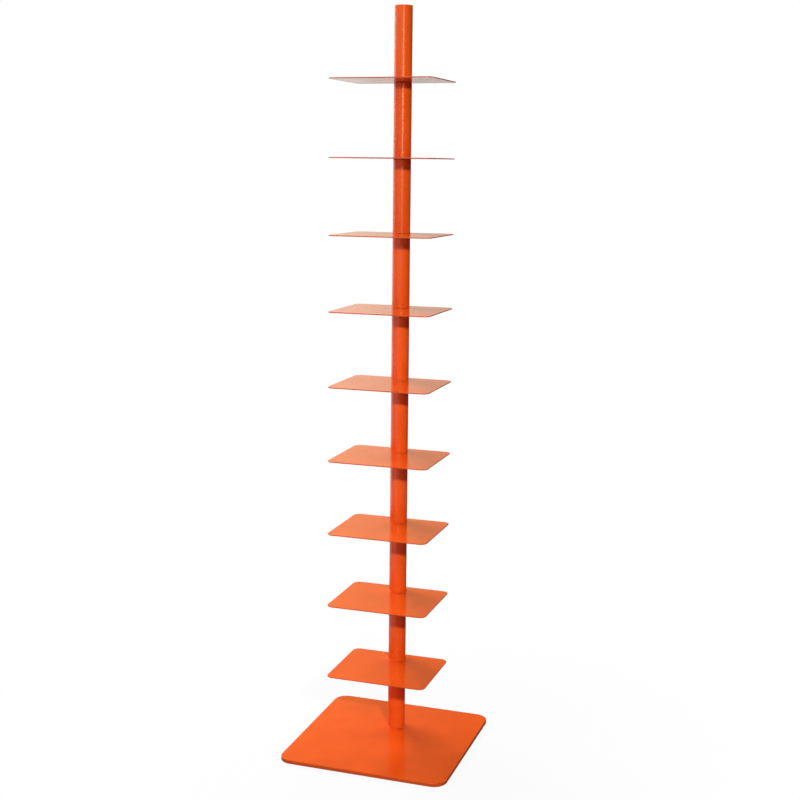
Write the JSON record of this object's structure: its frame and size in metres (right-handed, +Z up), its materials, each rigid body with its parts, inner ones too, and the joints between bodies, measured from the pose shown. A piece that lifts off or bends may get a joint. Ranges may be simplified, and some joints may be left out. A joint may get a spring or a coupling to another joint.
{
  "type": "rotating spiral bookshelf",
  "caption": "Slim floor-standing book tower: square base, round post at the rear and thin rectangular plates up it, each turning on the post to fan out into a spiral.",
  "frame": {"origin": "centre of the underside of the floor mat, on the floor under the middle of the base", "axes": "+Z up along the post; -Y is the front, where the shelves reach out; +X to the right seen from the front"},
  "size_m": [0.35, 0.35, 1.5067],
  "materials": {
    "orange_paint": "glossy orange powder coat on steel",
    "bare_steel": "zinc-plated or turned steel, hidden inside",
    "nylon": "dark moulded nylon",
    "felt": "thin pressed felt mat"
  },
  "bodies": {
    "stand": {"base_mat": "felt", "base_plate": "orange_paint", "base_bolt": "bare_steel", "base_dowel": "bare_steel", "core_foot": "bare_steel", "core_tube": "bare_steel", "core_top_plug": "bare_steel", "base_tube": "orange_paint", "base_tube_bush": "nylon", "top_washer": "bare_steel", "top_disc_spring": "bare_steel", "top_stud": "bare_steel", "top_cap": "orange_paint"},
    "shelf_1": {"shelf_1_plate": "orange_paint", "shelf_1_tube": "orange_paint", "shelf_1_lower_bush": "nylon", "shelf_1_upper_bush": "nylon"},
    "shelf_2": {"shelf_2_plate": "orange_paint", "shelf_2_tube": "orange_paint", "shelf_2_lower_bush": "nylon", "shelf_2_upper_bush": "nylon"},
    "shelf_3": {"shelf_3_plate": "orange_paint", "shelf_3_tube": "orange_paint", "shelf_3_lower_bush": "nylon", "shelf_3_upper_bush": "nylon"},
    "shelf_4": {"shelf_4_plate": "orange_paint", "shelf_4_tube": "orange_paint", "shelf_4_lower_bush": "nylon", "shelf_4_upper_bush": "nylon"},
    "shelf_5": {"shelf_5_plate": "orange_paint", "shelf_5_tube": "orange_paint", "shelf_5_lower_bush": "nylon", "shelf_5_upper_bush": "nylon"},
    "shelf_6": {"shelf_6_plate": "orange_paint", "shelf_6_tube": "orange_paint", "shelf_6_lower_bush": "nylon", "shelf_6_upper_bush": "nylon"},
    "shelf_7": {"shelf_7_plate": "orange_paint", "shelf_7_tube": "orange_paint", "shelf_7_lower_bush": "nylon", "shelf_7_upper_bush": "nylon"},
    "shelf_8": {"shelf_8_plate": "orange_paint", "shelf_8_tube": "orange_paint", "shelf_8_lower_bush": "nylon", "shelf_8_upper_bush": "nylon"},
    "shelf_9": {"shelf_9_plate": "orange_paint", "shelf_9_tube": "orange_paint", "shelf_9_lower_bush": "nylon", "shelf_9_upper_bush": "nylon"}
  },
  "joints": [
    {"name": "shelf_1_turn", "type": "hinge", "parent": "stand", "child": "shelf_1", "pos_m": [0, 0.06, 0.1595], "axis": [0, 0, 1], "continuous": true},
    {"name": "shelf_2_turn", "type": "hinge", "parent": "stand", "child": "shelf_2", "pos_m": [0, 0.06, 0.3095], "axis": [0, 0, 1], "continuous": true},
    {"name": "shelf_3_turn", "type": "hinge", "parent": "stand", "child": "shelf_3", "pos_m": [0, 0.06, 0.4595], "axis": [0, 0, 1], "continuous": true},
    {"name": "shelf_4_turn", "type": "hinge", "parent": "stand", "child": "shelf_4", "pos_m": [0, 0.06, 0.6095], "axis": [0, 0, 1], "continuous": true},
    {"name": "shelf_5_turn", "type": "hinge", "parent": "stand", "child": "shelf_5", "pos_m": [0, 0.06, 0.7595], "axis": [0, 0, 1], "continuous": true},
    {"name": "shelf_6_turn", "type": "hinge", "parent": "stand", "child": "shelf_6", "pos_m": [0, 0.06, 0.9095], "axis": [0, 0, 1], "continuous": true},
    {"name": "shelf_7_turn", "type": "hinge", "parent": "stand", "child": "shelf_7", "pos_m": [0, 0.06, 1.0595], "axis": [0, 0, 1], "continuous": true},
    {"name": "shelf_8_turn", "type": "hinge", "parent": "stand", "child": "shelf_8", "pos_m": [0, 0.06, 1.2095], "axis": [0, 0, 1], "continuous": true},
    {"name": "shelf_9_turn", "type": "hinge", "parent": "stand", "child": "shelf_9", "pos_m": [0, 0.06, 1.3595], "axis": [0, 0, 1], "continuous": true}
  ]
}
